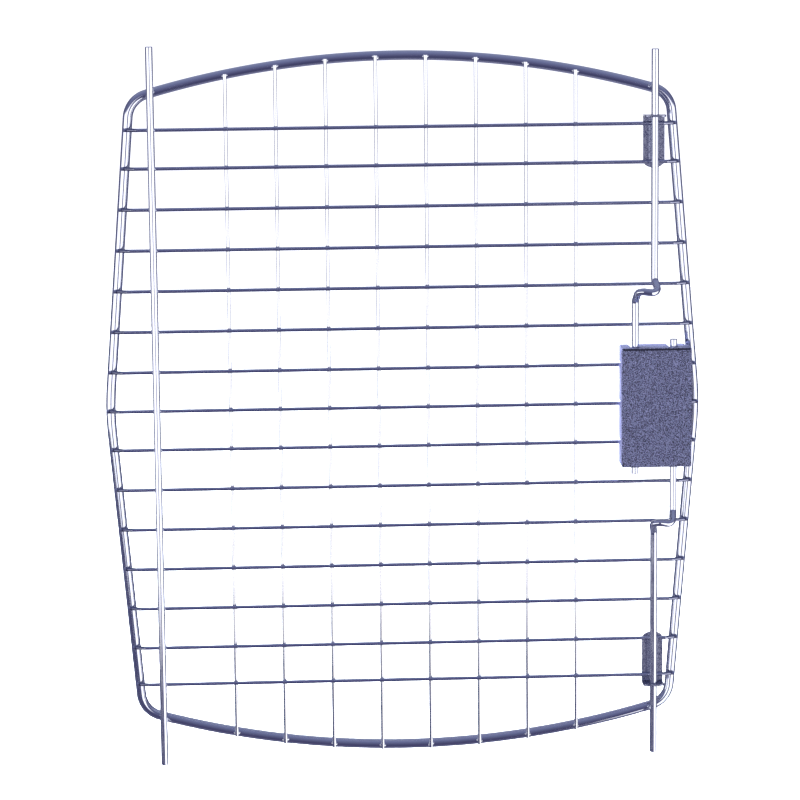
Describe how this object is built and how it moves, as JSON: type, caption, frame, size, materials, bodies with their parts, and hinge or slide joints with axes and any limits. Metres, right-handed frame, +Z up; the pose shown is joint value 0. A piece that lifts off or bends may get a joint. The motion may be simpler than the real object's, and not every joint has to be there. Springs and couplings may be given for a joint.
{
  "type": "kennel door with latch",
  "caption": "Bowed welded-wire pet kennel door in a heavier wire frame, with a hinge rod down one side and a sprung two-rod squeeze latch in a small plastic case on the other.",
  "frame": {"origin": "the hinge rod's axis at its lower end face", "axes": "+Z up along the hinge rod, +X across the door to the latch, -Y outwards to the side the latch is worked from"},
  "size_m": [0.3772, 0.0243, 0.46],
  "materials": {
    "frame_wire": "bright plated",
    "grid_wire": "bright plated",
    "rod": "bright plated",
    "bracket_plate": "bright plated sheet",
    "case_plastic": "fine grained, satin",
    "back_plastic": "fine grained, satin",
    "screw_steel": "zinc plated",
    "spring_steel": "bright drawn"
  },
  "bodies": {
    "door": {"frame_wire": "frame_wire", "horizontal_wire_01": "grid_wire", "horizontal_wire_02": "grid_wire", "horizontal_wire_03": "grid_wire", "horizontal_wire_04": "grid_wire", "horizontal_wire_05": "grid_wire", "horizontal_wire_06": "grid_wire", "horizontal_wire_07": "grid_wire", "horizontal_wire_08": "grid_wire", "horizontal_wire_09": "grid_wire", "horizontal_wire_10": "grid_wire", "horizontal_wire_11": "grid_wire", "horizontal_wire_12": "grid_wire", "horizontal_wire_13": "grid_wire", "horizontal_wire_14": "grid_wire", "horizontal_wire_15": "grid_wire", "vertical_wire_01": "grid_wire", "vertical_wire_02": "grid_wire", "vertical_wire_03": "grid_wire", "vertical_wire_04": "grid_wire", "vertical_wire_05": "grid_wire", "vertical_wire_06": "grid_wire", "vertical_wire_07": "grid_wire", "vertical_wire_08": "grid_wire", "hinge_rod": "rod", "upper_guide_bracket": "bracket_plate", "lower_guide_bracket": "bracket_plate", "latch_cover": "case_plastic", "latch_back": "back_plastic", "latch_screws": "screw_steel", "upper_spring": "spring_steel", "lower_spring": "spring_steel"},
    "upper_rod": {"upper_latch_rod": "rod"},
    "lower_rod": {"lower_latch_rod": "rod"}
  },
  "joints": [
    {"name": "upper_rod_slide", "type": "slide", "parent": "door", "child": "upper_rod", "axis": [0, 0, -1], "range_m": [0, 0.02], "stiffness_N_per_m": 400, "springref_m": -0.02, "deforming": ["upper_spring"]},
    {"name": "lower_rod_slide", "type": "slide", "parent": "door", "child": "lower_rod", "axis": [0, 0, 1], "range_m": [0, 0.02], "stiffness_N_per_m": 400, "springref_m": -0.02, "deforming": ["lower_spring"]}
  ]
}
